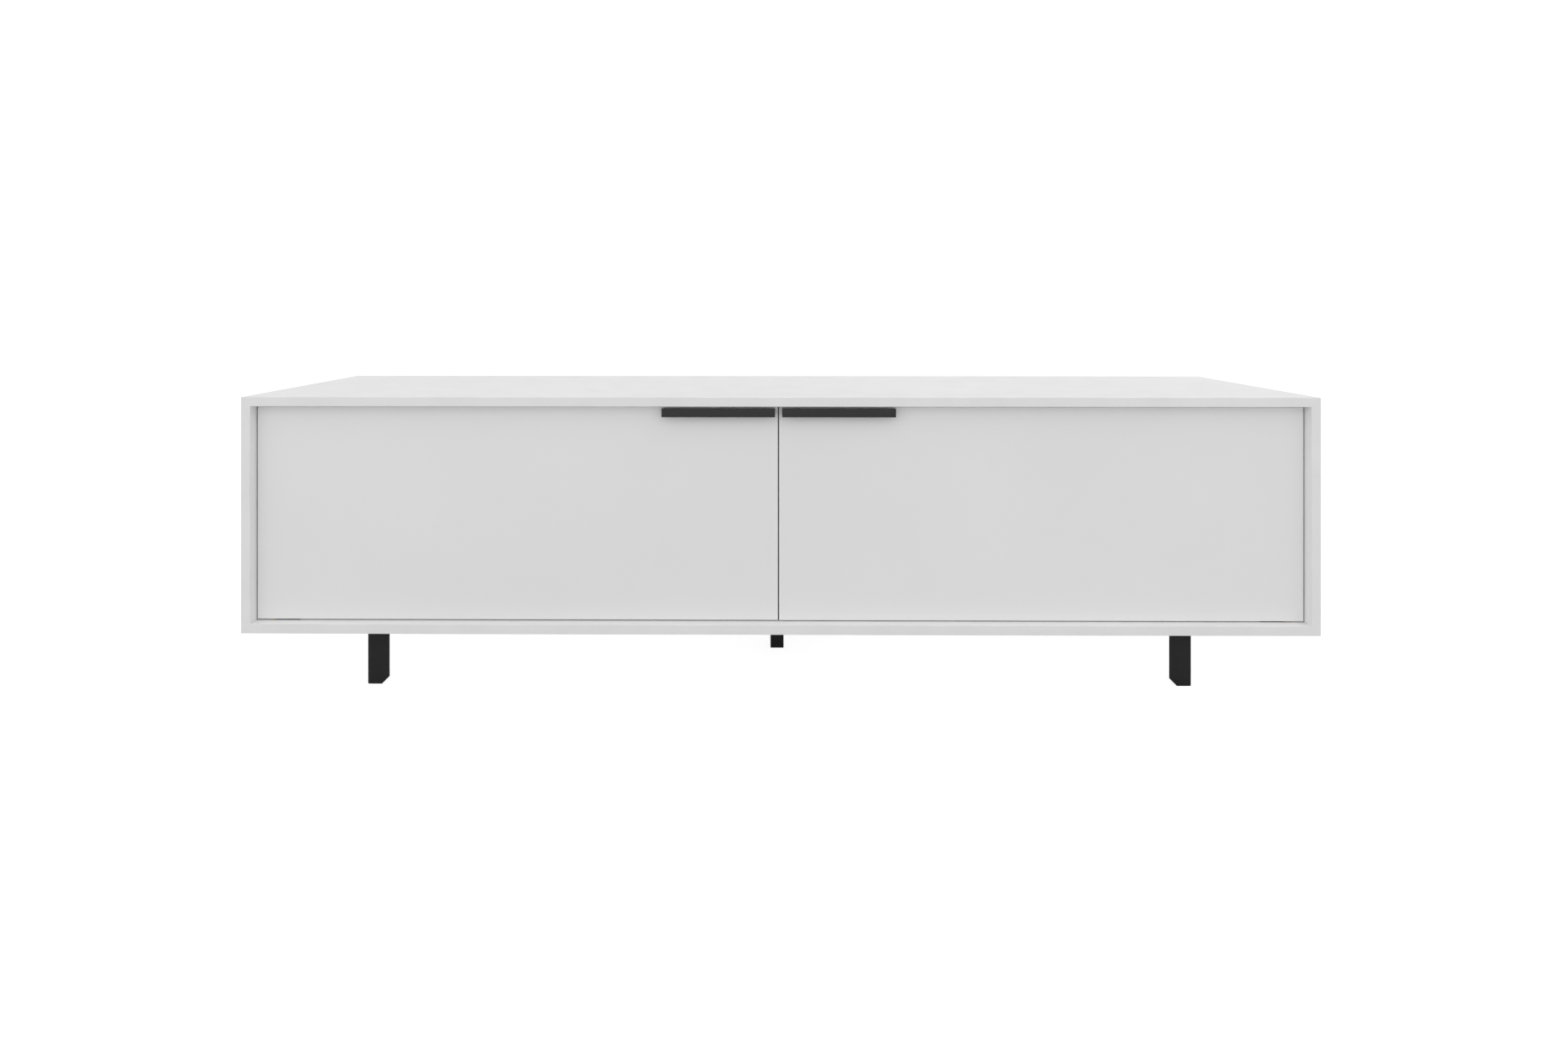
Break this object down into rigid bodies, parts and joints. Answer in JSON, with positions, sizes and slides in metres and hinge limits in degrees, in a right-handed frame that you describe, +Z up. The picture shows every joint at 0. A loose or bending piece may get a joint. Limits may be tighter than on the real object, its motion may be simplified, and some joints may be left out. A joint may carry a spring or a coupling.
{
  "type": "tv stand with doors",
  "caption": "Low wide television stand: a white board case on black steel legs, with inset side-hung doors, channel pulls and shelves behind.",
  "frame": {"origin": "On the floor, at the middle of the case's width and depth", "axes": "+X to the viewer's right, -Y out of the front, +Z up"},
  "size_m": [1.8, 0.4, 0.501],
  "materials": {
    "case_board": "white satin melamine-faced particle board",
    "door_board": "white satin melamine-faced particle board",
    "back_board": "white-faced thin hardboard",
    "beech": "plain beech dowel",
    "handle_aluminium": "matt black anodised aluminium",
    "leg_steel": "fine-textured black powder coat on steel",
    "black_screw": "black oxide steel",
    "nickel_steel": "satin nickel-plated steel",
    "zinc_screw": "bright zinc-plated steel",
    "washer_brass": "turned brass",
    "catch_plastic": "white moulded plastic",
    "magnet": "dark sintered ferrite",
    "bumper_silicone": "soft clear-white silicone",
    "pad_rubber": "dense black rubber",
    "glide_plastic": "black moulded plastic"
  },
  "bodies": {
    "case": {"top_panel": "case_board", "bottom_panel": "case_board", "left_side_panel": "case_board", "right_side_panel": "case_board", "centre_partition": "case_board", "left_shelf": "case_board", "right_shelf": "case_board", "left_back_panel": "back_board", "right_back_panel": "back_board", "mitre_dowels": "beech", "partition_dowels": "beech", "partition_screws": "zinc_screw", "left_shelf_pegs": "nickel_steel", "right_shelf_pegs": "nickel_steel", "left_bottom_frame_leaf": "nickel_steel", "left_top_frame_leaf": "nickel_steel", "right_bottom_frame_leaf": "nickel_steel", "right_top_frame_leaf": "nickel_steel", "left_bottom_pin": "nickel_steel", "left_top_pin": "nickel_steel", "right_bottom_pin": "nickel_steel", "right_top_pin": "nickel_steel", "left_bottom_washer": "washer_brass", "left_top_washer": "washer_brass", "right_bottom_washer": "washer_brass", "right_top_washer": "washer_brass", "frame_hinge_screws": "zinc_screw", "left_catch_body": "catch_plastic", "right_catch_body": "catch_plastic", "left_catch_magnet": "magnet", "right_catch_magnet": "magnet", "left_catch_poles": "nickel_steel", "right_catch_poles": "nickel_steel", "catch_screws": "zinc_screw", "door_bumpers": "bumper_silicone", "front_left_leg": "leg_steel", "front_right_leg": "leg_steel", "rear_left_leg": "leg_steel", "rear_right_leg": "leg_steel", "centre_leg": "leg_steel", "centre_leg_glide": "glide_plastic", "foot_pads": "pad_rubber", "leg_screws": "zinc_screw"},
    "left_door": {"left_door_panel": "door_board", "left_handle": "handle_aluminium", "left_handle_screws": "black_screw", "left_bottom_door_leaf": "nickel_steel", "left_top_door_leaf": "nickel_steel", "left_door_hinge_screws": "zinc_screw", "left_strike_plate": "nickel_steel", "left_strike_screw": "zinc_screw"},
    "right_door": {"right_door_panel": "door_board", "right_handle": "handle_aluminium", "right_handle_screws": "black_screw", "right_bottom_door_leaf": "nickel_steel", "right_top_door_leaf": "nickel_steel", "right_door_hinge_screws": "zinc_screw", "right_strike_plate": "nickel_steel", "right_strike_screw": "zinc_screw"}
  },
  "joints": [
    {"name": "left_door_hinge", "type": "hinge", "parent": "case", "child": "left_door", "pos_m": [-0.85897, -0.1745, 0.3], "axis": [0, 0, -1], "range_deg": [0, 105]},
    {"name": "right_door_hinge", "type": "hinge", "parent": "case", "child": "right_door", "pos_m": [0.85897, -0.1745, 0.3], "axis": [0, 0, 1], "range_deg": [0, 105]}
  ]
}
